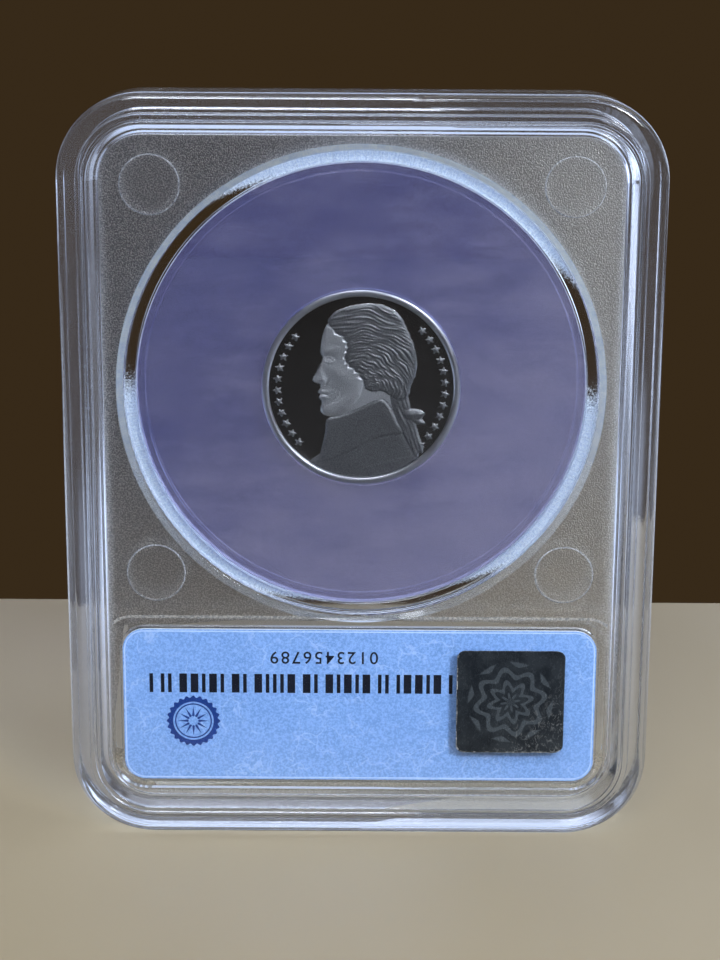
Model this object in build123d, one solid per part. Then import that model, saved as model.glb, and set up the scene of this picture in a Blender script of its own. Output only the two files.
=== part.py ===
"""Graded coin slab: two clear shells welded round their rim, holding a coin in a disc insert.

Row frame, millimetres: +X to the right, +Z up, and the front face looks towards -Y.
The origin is the middle of the slab's bottom, at the foot of its bounding box.

Each shell is drawn lying down: x to the right, y up the slab, z from the weld plane
outwards. Both shells share one blank, and their stacking rims differ: the front has
a proud ridge, which drops into the sunk track on the back of the next slab.
"""
import os

from build123d import *

# Slab
WIDTH = 63.5
HEIGHT = 81.6
CORNER_RADIUS = 9.0
SHELL_DEPTH = 4.0  # weld plane to the outermost face, so the slab is 8 mm thick

# Walls, as heights above the weld plane
FIELD_HEIGHT = 2.6  # the sunk, textured outer field
CAVITY_HEIGHT = 1.1  # inner face of the wall
RIB_GAP = 0.03  # ribs stop short of the weld plane, so that only the rim welds

# Rim, as insets from the slab's outer edge
EDGE_ROUND = 0.9
PARTING_BEVEL = 0.12
TRACK_DROP = 0.5  # height of the stacking ridge, and depth of the track it drops into
TRACK_CLEARANCE = 0.15
RIDGE_INSET = 2.05
RIDGE_DRAFT = 0.1
RIDGE_GROOVE_INSET = 2.7
RIDGE_GROOVE_WIDTH = 0.25
RIDGE_GROOVE_DEPTH = 0.22
SLOPE_TOP_INSET = 3.2
SLOPE_FOOT_INSET = 4.35
GUTTER_DEPTH = 0.06
PANEL_INSET = 4.65  # edge of the textured panel
RIM_INSET = 5.0  # where the rim's section meets the flat wall
CAVITY_INSET = 3.8
CAVITY_ROUND = 0.25

# Small corner rounds, and the lean of short moulded walls
TIGHT_ROUND = 0.05
SMALL_ROUND = 0.1
SOFT_ROUND = 0.16
SLOPE_ROUND = 0.2
WALL_LEAN = 0.03
FUSE_OVERLAP = 0.1  # how far the wall reaches into the rim where the two are fused

# Round window over the coin
WINDOW_Z = 50.4
WINDOW_RADIUS = 26.0
WINDOW_BEVEL = 0.6
WINDOW_DEPTH = 0.45
WINDOW_LIP_RADIUS = 26.6

# Seat for the insert
INSERT_RADIUS = 24.05
SEAT_CLEARANCE = 0.1
SEAT_WALL = 1.15

# Insert and coin
INSERT_THICKNESS = 2.1
INSERT_LIP_RADIUS = 23.1
INSERT_LIP_THICKNESS = 1.5
INSERT_STEP_RUN = 0.1
INSERT_KEY_WIDTH = 0.35
INSERT_KEY_LENGTH = 1.75
COIN_RADIUS = 10.605
COIN_THICKNESS = 1.95
COIN_RIM_WIDTH = 0.75
COIN_FIELD_DEPTH = 0.2
COIN_EDGE_BEVEL = 0.12
COIN_CLEARANCE = 0.015

# Label, its smooth window and its pocket
LABEL_WIDTH = 52.2
LABEL_HEIGHT = 17.6
LABEL_BOTTOM = 5.7
LABEL_RADIUS = 2.4
LABEL_THICKNESS = 0.3
LABEL_CLEARANCE = 0.05
LABEL_WINDOW_TOP = 24.9
LABEL_WINDOW_RADIUS = 3.3
LABEL_WINDOW_DEPTH = 0.1
LABEL_WINDOW_RAMP = 0.35
POCKET_CLEARANCE = 0.3
POCKET_WALL = 0.8

# Ejector pin marks on the inner faces
EJECTOR_RADIUS = 3.1
EJECTOR_DEPTH = 0.12
EJECTOR_X = 22.2
EJECTOR_Z = (29.8, 72.0)

# Weld joint
TONGUE_INSET = 2.5
TONGUE_WIDTH = 0.6
TONGUE_LENGTH = 0.8
GROOVE_CLEARANCE = 0.05

# Hologram sticker, on the front
STICKER_SIZE = 11.9
STICKER_RADIUS = 0.9
STICKER_THICKNESS = 0.1
STICKER_X = 16.65
STICKER_Z = 15.4


def section(points):
    """A closed flat section. Each point is (across, up) or (across, up, corner radius)."""
    corners = [Vector(point[0], point[1]) for point in points]
    face = make_face(Polyline(*corners, close=True))
    for corner, point in zip(corners, points):
        if len(point) == 3:
            nearest = min(face.vertices(), key=lambda vertex: (Vector(*vertex) - corner).length)
            face = fillet(nearest, point[2])
    return face


def plate(inset, low, high):
    """A rounded plate, concentric with the slab, between two heights."""
    outline = RectangleRounded(WIDTH - 2 * inset, HEIGHT - 2 * inset, CORNER_RADIUS - inset)
    return Pos(0, HEIGHT / 2, low) * extrude(outline, high - low)


def card(grow, low, high):
    """The label's outline, grown on every side, between two heights."""
    outline = RectangleRounded(LABEL_WIDTH + 2 * grow, LABEL_HEIGHT + 2 * grow, LABEL_RADIUS + grow)
    return Pos(0, LABEL_BOTTOM + LABEL_HEIGHT / 2, low) * extrude(outline, high - low)


def turned(points):
    """A section of (radius, height) points, turned about the window's axis."""
    upright = Plane.XZ * section(points)
    return Pos(0, WINDOW_Z, 0) * revolve(upright, Axis.Z)


def rim(points):
    """A section of (inset, height) points, carried all round the slab's edge."""
    path = RectangleRounded(WIDTH, HEIGHT, CORNER_RADIUS).face().outer_wire()
    along = path % 0
    start = Plane(origin=path @ 0, x_dir=Vector(0, 0, 1).cross(along), z_dir=along)
    return Pos(0, HEIGHT / 2, 0) * sweep(start * section(points), path=path)


def slope_and_wall():
    """The part of the rim's section that both shells share: the slope, gutter and cavity wall."""
    gutter = FIELD_HEIGHT - GUTTER_DEPTH
    return [
        (SLOPE_FOOT_INSET, gutter, SLOPE_ROUND),
        (PANEL_INSET, gutter),
        (PANEL_INSET + WALL_LEAN, FIELD_HEIGHT),
        (RIM_INSET, FIELD_HEIGHT),
        (RIM_INSET, CAVITY_HEIGHT),
        (CAVITY_INSET, CAVITY_HEIGHT, CAVITY_ROUND),
        (CAVITY_INSET, 0),
    ]


def front_rim():
    """Flange, proud ridge with its groove, slope and weld tongue."""
    flange = SHELL_DEPTH - TRACK_DROP
    groove = SHELL_DEPTH - RIDGE_GROOVE_DEPTH
    groove_end = RIDGE_GROOVE_INSET + RIDGE_GROOVE_WIDTH
    tongue_end = TONGUE_INSET + TONGUE_WIDTH
    return rim([
        (0, PARTING_BEVEL),
        (0, flange, EDGE_ROUND),
        (RIDGE_INSET, flange, SMALL_ROUND),
        (RIDGE_INSET + RIDGE_DRAFT, SHELL_DEPTH, SOFT_ROUND),
        (RIDGE_GROOVE_INSET, SHELL_DEPTH, TIGHT_ROUND),
        (RIDGE_GROOVE_INSET + WALL_LEAN, groove),
        (groove_end - WALL_LEAN, groove),
        (groove_end, SHELL_DEPTH, TIGHT_ROUND),
        (SLOPE_TOP_INSET, SHELL_DEPTH, SLOPE_ROUND),
        *slope_and_wall(),
        (tongue_end, 0),
        (tongue_end, -TONGUE_LENGTH, SMALL_ROUND),
        (TONGUE_INSET, -TONGUE_LENGTH, SMALL_ROUND),
        (TONGUE_INSET, 0),
        (PARTING_BEVEL, 0),
    ])


def back_rim():
    """Proud flange, sunk track for the next slab's ridge, slope and weld groove."""
    track = SHELL_DEPTH - TRACK_DROP
    track_inset = RIDGE_INSET - TRACK_CLEARANCE
    track_end = SLOPE_TOP_INSET + TRACK_DROP * (SLOPE_FOOT_INSET - SLOPE_TOP_INSET) / (
        SHELL_DEPTH - FIELD_HEIGHT + GUTTER_DEPTH
    )
    groove_start = TONGUE_INSET - GROOVE_CLEARANCE
    groove_end = TONGUE_INSET + TONGUE_WIDTH + GROOVE_CLEARANCE
    groove_depth = TONGUE_LENGTH + 2 * GROOVE_CLEARANCE
    return rim([
        (0, PARTING_BEVEL),
        (0, SHELL_DEPTH, EDGE_ROUND),
        (track_inset, SHELL_DEPTH, SOFT_ROUND),
        (track_inset + RIDGE_DRAFT, track, SMALL_ROUND),
        (track_end, track, SLOPE_ROUND),
        *slope_and_wall(),
        (groove_end, 0),
        (groove_end, groove_depth),
        (groove_start, groove_depth),
        (groove_start, 0),
        (PARTING_BEVEL, 0),
    ])


def window():
    """The round window: bevelled recess outside, and the ring wall that seats the insert inside."""
    floor = FIELD_HEIGHT - WINDOW_DEPTH
    seat = INSERT_RADIUS + SEAT_CLEARANCE
    return turned([
        (0, floor),
        (WINDOW_RADIUS - WINDOW_BEVEL, floor, SOFT_ROUND),
        (WINDOW_RADIUS, FIELD_HEIGHT, SOFT_ROUND),
        (WINDOW_LIP_RADIUS, FIELD_HEIGHT),
        (WINDOW_LIP_RADIUS, CAVITY_HEIGHT),
        (seat + SEAT_WALL, CAVITY_HEIGHT, SOFT_ROUND),
        (seat + SEAT_WALL, RIB_GAP, SOFT_ROUND),
        (seat, RIB_GAP, SOFT_ROUND),
        (seat, CAVITY_HEIGHT),
        (0, CAVITY_HEIGHT),
    ])


def label_window_recess():
    """The smooth panel over the label, as a cutter: it follows the rim, and ramps up at the top."""
    floor = FIELD_HEIGHT - LABEL_WINDOW_DEPTH
    levels = []
    for grow in (0, 2 * LABEL_WINDOW_RAMP):
        width = WIDTH - 2 * PANEL_INSET + 2 + 2 * grow
        outline = RectangleRounded(width, 2 * (LABEL_WINDOW_TOP + grow), LABEL_WINDOW_RADIUS + grow)
        levels.append(Pos(0, 0, floor + grow * LABEL_WINDOW_DEPTH / LABEL_WINDOW_RAMP) * outline)
    return plate(PANEL_INSET, floor, FIELD_HEIGHT + LABEL_WINDOW_DEPTH) & loft(levels)


def shell(rim_solid):
    """A rim, its textured wall with both windows, and the ejector marks inside."""
    opening = Pos(0, WINDOW_Z, 0) * extrude(Circle(WINDOW_LIP_RADIUS), SHELL_DEPTH)
    wall = plate(RIM_INSET - FUSE_OVERLAP, CAVITY_HEIGHT, FIELD_HEIGHT) - opening
    solid = rim_solid + wall + window() - label_window_recess()
    for x in (-EJECTOR_X, EJECTOR_X):
        for z in EJECTOR_Z:
            mark = extrude(Circle(EJECTOR_RADIUS), 2 * EJECTOR_DEPTH)
            solid = solid - Pos(x, z, CAVITY_HEIGHT - EJECTOR_DEPTH) * mark
    return solid


def make_front_shell():
    """The shell with the stacking ridge, the weld tongue and the label pocket's walls."""
    pocket = card(POCKET_CLEARANCE + POCKET_WALL, RIB_GAP, CAVITY_HEIGHT)
    return shell(front_rim()) + (pocket - card(POCKET_CLEARANCE, -1, CAVITY_HEIGHT + 1))


def make_back_shell():
    """The shell with the stacking track, the weld groove and the pad that holds the label forward."""
    pad_top = -(CAVITY_HEIGHT - LABEL_THICKNESS - 2 * LABEL_CLEARANCE)
    return shell(back_rim()) + card(-POCKET_CLEARANCE, pad_top, CAVITY_HEIGHT)


def make_coin_insert():
    """A disc with a thinner lip, a moulding key at six o'clock and a hole that grips the coin."""
    half = INSERT_THICKNESS / 2
    lip = INSERT_LIP_THICKNESS / 2
    hole = COIN_RADIUS + COIN_CLEARANCE
    insert = turned([
        (hole, -half, SMALL_ROUND),
        (INSERT_LIP_RADIUS, -half, SMALL_ROUND),
        (INSERT_LIP_RADIUS + INSERT_STEP_RUN, -lip, SMALL_ROUND),
        (INSERT_RADIUS, -lip, SMALL_ROUND),
        (INSERT_RADIUS, lip, SMALL_ROUND),
        (INSERT_LIP_RADIUS + INSERT_STEP_RUN, lip, SMALL_ROUND),
        (INSERT_LIP_RADIUS, half, SMALL_ROUND),
        (hole, half, SMALL_ROUND),
    ])
    key = Box(INSERT_KEY_WIDTH, 2 * INSERT_KEY_LENGTH, INSERT_THICKNESS)
    return insert - Pos(0, WINDOW_Z - INSERT_RADIUS, INSERT_THICKNESS) * key


def make_coin():
    """A plain-edged coin with a raised rim round both sunk faces."""
    half = COIN_THICKNESS / 2
    floor = half - COIN_FIELD_DEPTH
    face_radius = COIN_RADIUS - COIN_RIM_WIDTH
    return turned([
        (0, -floor),
        (face_radius, -floor),
        (face_radius, -half),
        (COIN_RADIUS, -half, COIN_EDGE_BEVEL),
        (COIN_RADIUS, half, COIN_EDGE_BEVEL),
        (face_radius, half),
        (face_radius, floor),
        (0, floor),
    ])


def make_label_card():
    """The printed card, close behind the front shell's wall."""
    top = CAVITY_HEIGHT - LABEL_CLEARANCE
    return card(0, top - LABEL_THICKNESS, top)


def make_hologram_sticker():
    """A thin foil seal, stuck on the smooth panel over the label."""
    outline = RectangleRounded(STICKER_SIZE, STICKER_SIZE, STICKER_RADIUS)
    base = FIELD_HEIGHT - LABEL_WINDOW_DEPTH
    return Pos(STICKER_X, STICKER_Z, base) * extrude(outline, STICKER_THICKNESS)


# A shape drawn lying down stands up with its outside towards -Y, or towards +Y for the back shell.
FACING_FRONT = Plane.XZ.location
FACING_BACK = FACING_FRONT * Rot(0, 180, 0)

NODES = {
    "front_shell": FACING_FRONT * make_front_shell(),
    "back_shell": FACING_BACK * make_back_shell(),
    "coin_insert": FACING_FRONT * make_coin_insert(),
    "coin": FACING_FRONT * make_coin(),
    "label_card": FACING_FRONT * make_label_card(),
    "hologram_sticker": FACING_FRONT * make_hologram_sticker(),
}

os.makedirs("parts", exist_ok=True)
for name, solid in NODES.items():
    export_step(solid, f"parts/{name}.step")
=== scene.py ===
import math

import bmesh
import bpy
import numpy as np
from mathutils import Euler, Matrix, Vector


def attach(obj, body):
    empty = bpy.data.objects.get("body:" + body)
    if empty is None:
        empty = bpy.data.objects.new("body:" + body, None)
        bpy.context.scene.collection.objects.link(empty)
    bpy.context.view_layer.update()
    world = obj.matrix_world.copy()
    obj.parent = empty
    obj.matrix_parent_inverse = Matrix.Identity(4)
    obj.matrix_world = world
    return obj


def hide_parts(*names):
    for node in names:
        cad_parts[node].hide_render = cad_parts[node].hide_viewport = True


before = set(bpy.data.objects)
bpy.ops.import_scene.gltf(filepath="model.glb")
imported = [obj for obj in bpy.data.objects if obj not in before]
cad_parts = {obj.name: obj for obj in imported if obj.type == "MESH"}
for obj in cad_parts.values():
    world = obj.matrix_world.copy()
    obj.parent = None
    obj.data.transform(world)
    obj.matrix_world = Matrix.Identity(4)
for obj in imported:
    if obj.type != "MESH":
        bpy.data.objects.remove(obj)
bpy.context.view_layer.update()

MM = 0.001

# Sizes shared with the CAD model, in millimetres. Heights are distances from the weld plane.
WINDOW_Z = 50.4
WINDOW_RADIUS = 26.0
WINDOW_FLOOR = 2.15
WINDOW_BEVEL = 0.6
SLAB = {"half": 31.75, "middle": 40.8, "corner": 9.0}
FIELD_HEIGHT = 2.6
LABEL_WINDOW_HEIGHT = 2.5
LABEL_RAMP_TOP = 26.0
PANEL_INSET = 4.66
CAVITY_HEIGHT = 1.1
SEAT_INNER = 24.15
SEAT_OUTER = 25.3
SEAT_MIDDLE = 24.7
POCKET = {"x": 26.5, "low": 5.3, "high": 23.7}
EJECTOR = {"x": 22.2, "z": (29.8, 72.0), "radius": 3.1, "depth": 0.12}
INSERT_EDGE = 23.9
COIN_RADIUS = 10.605
COIN_HALF = 0.975
COIN_FACE_RADIUS = 9.855
COIN_FIELD = 0.71
LABEL = {"z": 14.5, "width": 52.2, "height": 17.6}
LABEL_FRONT = -1.05
LABEL_BACK = -0.75
STICKER = {"x": 16.65, "z": 15.4, "size": 11.9, "radius": 0.9, "base": -2.5, "thickness": 0.1}


# -------------------- node helpers
def new_material(name):
    """An empty node material and its tree."""
    material = bpy.data.materials.new(name)
    material.use_nodes = True
    material.node_tree.nodes.clear()
    return material, material.node_tree


def add(tree, kind, **settings):
    """A node with its properties set."""
    node = tree.nodes.new(kind)
    for name, value in settings.items():
        setattr(node, name, value)
    return node


def feed(tree, value, socket):
    """Connect a socket, or set a plain value, on a node's input."""
    if isinstance(value, bpy.types.NodeSocket):
        tree.links.new(value, socket)
    else:
        socket.default_value = value


def as_colour(value):
    """A colour socket as it is, or three numbers with an alpha of 1."""
    return value if isinstance(value, bpy.types.NodeSocket) else (*value, 1)


def principled(tree, colour, roughness, **sockets):
    """A Principled shader with plain values or sockets on its inputs."""
    shader = add(tree, "ShaderNodeBsdfPrincipled")
    feed(tree, as_colour(colour), shader.inputs["Base Color"])
    feed(tree, roughness, shader.inputs["Roughness"])
    for name, value in sockets.items():
        feed(tree, value, shader.inputs[name.replace("_", " ")])
    return shader


def shown(material, shader):
    """The material, with a shader on its output."""
    tree = material.node_tree
    output = add(tree, "ShaderNodeOutputMaterial")
    tree.links.new(shader.outputs[0], output.inputs["Surface"])
    return material


def place(tree, stretch=(1, 1, 1)):
    """Object coordinates in millimetres, stretched."""
    where = add(tree, "ShaderNodeTexCoord")
    scale = add(tree, "ShaderNodeVectorMath", operation="MULTIPLY")
    tree.links.new(where.outputs["Object"], scale.inputs[0])
    scale.inputs[1].default_value = tuple(s / MM for s in stretch)
    return scale.outputs[0]


def coordinates(tree):
    """Object coordinates in millimetres, as three sockets."""
    split = add(tree, "ShaderNodeSeparateXYZ")
    tree.links.new(place(tree), split.inputs[0])
    return split.outputs["X"], split.outputs["Y"], split.outputs["Z"]


def noise(tree, per_mm, detail=2.0, roughness=0.5, distortion=0.0, stretch=(1, 1, 1)):
    """Noise in object space, with its scale in grains to the millimetre."""
    texture = add(tree, "ShaderNodeTexNoise")
    tree.links.new(place(tree, stretch), texture.inputs["Vector"])
    texture.inputs["Scale"].default_value = per_mm
    texture.inputs["Detail"].default_value = detail
    texture.inputs["Roughness"].default_value = roughness
    texture.inputs["Distortion"].default_value = distortion
    return texture.outputs["Fac"]


def calculate(tree, operation, *values):
    """A Math node on sockets or numbers."""
    node = add(tree, "ShaderNodeMath", operation=operation)
    for value, socket in zip(values, node.inputs):
        feed(tree, value, socket)
    return node.outputs[0]


def product(tree, first, second):
    """Two sockets or numbers multiplied."""
    return calculate(tree, "MULTIPLY", first, second)


def fade(tree, value, low, high, start=0.0, end=1.0):
    """Map a value from low..high to start..end, smoothly and clamped."""
    node = add(tree, "ShaderNodeMapRange", interpolation_type="SMOOTHSTEP")
    for name, number in (("From Min", low), ("From Max", high), ("To Min", start), ("To Max", end)):
        node.inputs[name].default_value = number
    feed(tree, value, node.inputs["Value"])
    return node.outputs[0]


def blend(tree, amount, first, second):
    """Mix two colours, each a socket or three numbers."""
    node = add(tree, "ShaderNodeMix", data_type="RGBA")
    feed(tree, amount, node.inputs[0])
    for value, socket in ((first, node.inputs[6]), (second, node.inputs[7])):
        feed(tree, as_colour(value), socket)
    return node.outputs[2]


def bump(tree, height, depth_mm, *shaders):
    """Bump shaders by a height socket, whose 0 to 1 stands for a depth."""
    node = add(tree, "ShaderNodeBump")
    node.inputs["Strength"].default_value = 1.0
    node.inputs["Distance"].default_value = depth_mm * MM
    tree.links.new(height, node.inputs["Height"])
    for shader in shaders:
        tree.links.new(node.outputs["Normal"], shader.inputs["Normal"])


def mix_shaders(tree, amount, first, second):
    """Mix two shaders."""
    mix = add(tree, "ShaderNodeMixShader")
    feed(tree, amount, mix.inputs["Fac"])
    tree.links.new(first.outputs[0], mix.inputs[1])
    tree.links.new(second.outputs[0], mix.inputs[2])
    return mix


def let_lamps_through(tree, shader, colour):
    """Glass that lets lamps through to what is behind it."""
    path = add(tree, "ShaderNodeLightPath")
    open_way = add(tree, "ShaderNodeBsdfTransparent")
    open_way.inputs["Color"].default_value = (*colour, 1)
    return mix_shaders(tree, path.outputs["Is Shadow Ray"], shader, open_way)


def around(tree, middle_x, middle_z):
    """Across and up from an axis along Y in millimetres, the distance from it and the angle round it."""
    x, _, z = coordinates(tree)
    across = calculate(tree, "SUBTRACT", x, middle_x)
    up = calculate(tree, "SUBTRACT", z, middle_z)
    squares = calculate(tree, "MULTIPLY_ADD", up, up, product(tree, across, across))
    return across, up, calculate(tree, "SQRT", squares), calculate(tree, "ARCTAN2", across, up)


def slanting(tree, lean):
    """A measure that grows downwards and, by a lean, to the right, in millimetres."""
    x, _, z = coordinates(tree)
    return calculate(tree, "SUBTRACT", product(tree, x, lean), z)


def tool_marks(tree, angle, per_radian):
    """Fine marks that run across a turned face."""
    texture = add(tree, "ShaderNodeTexNoise", noise_dimensions="1D")
    tree.links.new(product(tree, angle, per_radian), texture.inputs["W"])
    return texture.outputs["Fac"]


# -------------------- materials
CLEAR = (0.96, 0.975, 1.0)
PLASTIC_IOR = 1.52
INSERT_IOR = 1.45

# How much of a lamp's light each kind of plastic lets through
THROUGH_CLEAR = (0.8, 0.83, 0.88)
THROUGH_FROST = (0.75, 0.77, 0.82)
THROUGH_EDGE = (0.75, 0.8, 0.88)
THROUGH_INSERT = (0.6, 0.6, 0.78)


def clear_polished():
    """Polished clear plastic with a little moulding waviness and hairline scratches."""
    material, tree = new_material("clear_polished")
    haze = fade(tree, noise(tree, 0.7, 3.0, 0.6), 0.5, 0.8, 0.015, 0.06)
    shader = principled(tree, CLEAR, haze, IOR=PLASTIC_IOR, Transmission_Weight=1.0)
    scratches = fade(tree, noise(tree, 1.0, 2.0, 0.5, 0.4, (0.35, 1, 5.0)), 0.70, 0.74)
    height = calculate(tree, "MULTIPLY_ADD", scratches, -0.5, noise(tree, 0.2, 1.0))
    bump(tree, height, 0.002, shader)
    return shown(material, let_lamps_through(tree, shader, THROUGH_CLEAR))


def clear_rim():
    """The handled rim: clear plastic with a slight veil of fine wear."""
    material, tree = new_material("clear_rim")
    wear = noise(tree, 3.5, 3.0, 0.7)
    haze = fade(tree, wear, 0.4, 0.75, 0.02, 0.09)
    shader = principled(tree, (0.93, 0.95, 1.0), haze, IOR=PLASTIC_IOR, Transmission_Weight=0.985)
    bump(tree, wear, 0.002, shader)
    return shown(material, let_lamps_through(tree, shader, THROUGH_CLEAR))


def clear_stippled():
    """The fine spark-eroded texture on the inner faces, with painted light: paler low and to the right,
    where the light falls.
    """
    material, tree = new_material("clear_stippled")
    grain = noise(tree, 6.5, 1.0, 0.6)
    # Painted light: the tone brightens low and to the right, as the light falls there.
    painted_light_slant = fade(tree, slanting(tree, 1.6), -105.0, 5.0)
    pits = blend(tree, painted_light_slant, (0.10, 0.09, 0.08), (0.52, 0.45, 0.34))
    tops = blend(tree, painted_light_slant, (0.66, 0.58, 0.51), (1.0, 0.93, 0.79))
    tone = blend(tree, fade(tree, grain, 0.42, 0.66), pits, tops)
    shader = principled(tree, tone, 0.29, IOR=PLASTIC_IOR, Transmission_Weight=0.95)
    bump(tree, grain, 0.1, shader)
    return shown(material, let_lamps_through(tree, shader, THROUGH_FROST))


def clear_frosted():
    """Coarse frosted plastic on moulded edges."""
    material, tree = new_material("clear_frosted")
    grain = noise(tree, 3.6, 3.0, 0.7)
    tone = blend(tree, fade(tree, grain, 0.42, 0.6), (0.45, 0.47, 0.5), (1.0, 1.0, 1.0))
    shader = principled(tree, tone, 0.35, IOR=PLASTIC_IOR, Transmission_Weight=0.5)
    bump(tree, grain, 0.2, shader)
    return shown(material, let_lamps_through(tree, shader, THROUGH_FROST))


def clear_bevel():
    """The window's bevel: a painted sheen, a pale blue tone for the light it catches, with fine tool
    marks, clearer at its foot.
    """
    material, tree = new_material("clear_bevel")
    *_, angle = around(tree, 0.0, WINDOW_Z)
    strokes = tool_marks(tree, angle, 110.0)
    marks = product(tree, strokes, noise(tree, 1.0, 4.0, 0.7))
    # Painted sheen: the pale blue tone stands in for light caught on the bevel.
    tone = blend(tree, fade(tree, marks, 0.15, 0.35), (0.50, 0.66, 0.95), (0.72, 0.85, 1.0))
    sheen = principled(tree, tone, 0.14, IOR=PLASTIC_IOR, Transmission_Weight=0.5)
    clear = principled(tree, CLEAR, 0.05, IOR=PLASTIC_IOR, Transmission_Weight=1.0)
    bump(tree, strokes, 0.02, sheen)
    # The painted sheen is strongest at the top and gives way to clear plastic at the foot.
    share = fade(tree, calculate(tree, "COSINE", angle), -0.9, 0.3, 0.25, 1.0)
    body = mix_shaders(tree, share, clear, sheen)
    return shown(material, let_lamps_through(tree, body, THROUGH_EDGE))


def clear_seat():
    """The seat ring: frosted over three stretches, with ragged ends, and clear between them. The frost is
    partly real grain, and its pale blue-white tone, widest at the top, is painted reflection.
    """
    material, tree = new_material("clear_seat")
    *_, radius, angle = around(tree, 0.0, WINDOW_Z)
    frost_and_painted_reflection = 0.0
    for middle, reach in ((0.25, 0.8), (-2.2, 0.65), (2.1, 0.5)):
        away = calculate(tree, "ABSOLUTE", calculate(tree, "SUBTRACT", angle, middle))
        frost_and_painted_reflection = calculate(tree, "MAXIMUM", fade(tree, away, reach - 0.4, reach + 0.4, 1.0, 0.0), frost_and_painted_reflection)
    outwards = calculate(tree, "SUBTRACT", radius, SEAT_MIDDLE)
    lean = product(tree, outwards, calculate(tree, "COSINE", angle))
    marks = product(tree, tool_marks(tree, angle, 190.0), 0.4)
    grain = calculate(tree, "MULTIPLY_ADD", noise(tree, 4.5, 2.0, 0.7), 0.6, marks)
    frost_and_painted_reflection = calculate(tree, "MULTIPLY_ADD", grain, 0.9, frost_and_painted_reflection)
    share = calculate(tree, "MULTIPLY_ADD", lean, 0.45, frost_and_painted_reflection)
    clear = principled(tree, CLEAR, 0.05, IOR=PLASTIC_IOR, Transmission_Weight=1.0)
    # Painted reflection: the pale blue-white frost tone stands in for light the ring reflects.
    tone = blend(tree, fade(tree, grain, 0.38, 0.62), (0.50, 0.60, 0.76), (0.90, 0.97, 1.0))
    frosted = principled(tree, tone, 0.4, IOR=PLASTIC_IOR, Transmission_Weight=0.5)
    bump(tree, grain, 0.08, frosted)
    body = mix_shaders(tree, fade(tree, share, 0.9, 1.1), clear, frosted)
    return shown(material, let_lamps_through(tree, body, THROUGH_EDGE))


def insert_tinted():
    """Translucent blue-violet plastic with pale, milk-white streaks from the moulding, and painted light:
    paler low and to the right, where the light falls.
    """
    material, tree = new_material("insert_tinted")
    streaks = calculate(tree, "MULTIPLY_ADD", noise(tree, 0.45, 5.0, 0.7, 0.3, (1, 1, 5.0)), 1.5, -0.25)
    streaks = product(tree, streaks, 0.4)
    streaks_and_painted_light = calculate(tree, "MULTIPLY_ADD", noise(tree, 0.12, 4.0, 0.6, 0.3, (1, 1, 3.0)), 0.8, streaks)
    # Painted light: the streaks brighten low and to the right, as the light falls there.
    streaks_and_painted_light = calculate(tree, "ADD", streaks_and_painted_light, fade(tree, slanting(tree, 0.6), -75.0, -15.0, -0.2, 0.3))
    clear = principled(tree, (0.64, 0.63, 0.86), 0.06, IOR=INSERT_IOR, Transmission_Weight=1.0)
    tone = blend(tree, fade(tree, streaks_and_painted_light, 0.2, 1.0), (0.115, 0.125, 0.27), (0.37, 0.345, 0.46))
    milk = principled(tree, tone, 0.3, IOR=INSERT_IOR)
    bump(tree, noise(tree, 0.35, 2.0), 0.01, clear, milk)
    body = mix_shaders(tree, 0.33, clear, milk)
    return shown(material, let_lamps_through(tree, body, THROUGH_INSERT))


def insert_edge():
    """The insert's polished edge, with a painted highlight: a pale, whitish tone for the light it catches.
    """
    material, tree = new_material("insert_edge")
    marks = noise(tree, 1.2, 3.0, 0.6)
    # Painted highlight: the whitish tone stands in for light the edge catches.
    tone = blend(tree, fade(tree, marks, 0.3, 0.7), (0.66, 0.7, 0.86), (0.95, 0.96, 1.0))
    shader = principled(tree, tone, 0.16, IOR=INSERT_IOR, Transmission_Weight=0.5)
    bump(tree, marks, 0.01, shader)
    return shown(material, let_lamps_through(tree, shader, (0.7, 0.7, 0.85)))


def label_paper():
    """Light blue card: fine mottling, and a few pale fibres."""
    material, tree = new_material("label_paper")
    clouds = noise(tree, 0.16, 4.0, 0.6, 1.2)
    fine = noise(tree, 3.6, 3.0, 0.75)
    wander = add(tree, "ShaderNodeTexNoise")
    tree.links.new(place(tree), wander.inputs["Vector"])
    wander.inputs["Scale"].default_value = 0.5
    bent = add(tree, "ShaderNodeVectorMath", operation="MULTIPLY_ADD")
    tree.links.new(wander.outputs["Color"], bent.inputs[0])
    bent.inputs[1].default_value = (4.0, 4.0, 4.0)
    tree.links.new(place(tree), bent.inputs[2])
    fibre = add(tree, "ShaderNodeTexVoronoi", feature="DISTANCE_TO_EDGE")
    tree.links.new(bent.outputs[0], fibre.inputs["Vector"])
    fibre.inputs["Scale"].default_value = 0.34
    line = fade(tree, fibre.outputs["Distance"], 0.0, 0.05, 1.0, 0.0)
    line = product(tree, line, fade(tree, noise(tree, 0.3, 2.0), 0.45, 0.62))
    ground = blend(tree, fade(tree, clouds, 0.3, 0.7), (0.155, 0.305, 0.60), (0.185, 0.345, 0.66))
    ground = blend(tree, fade(tree, fine, 0.40, 0.60), ground, (0.27, 0.45, 0.79))
    ground = blend(tree, product(tree, line, 0.5), ground, (0.48, 0.63, 0.88))
    shader = principled(tree, ground, 0.5, Specular_IOR_Level=0.3)
    bump(tree, noise(tree, 6.0, 2.0), 0.01, shader)
    return shown(material, shader)


def card_edge():
    """The card's white back and cut edge."""
    material, tree = new_material("card_edge")
    fibres = fade(tree, noise(tree, 4.0, 2.0, 0.6, 0.0, (1, 6, 1)), 0.3, 0.7)
    tone = blend(tree, fibres, (0.78, 0.8, 0.84), (0.9, 0.91, 0.92))
    return shown(material, principled(tree, tone, 0.6))


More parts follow.
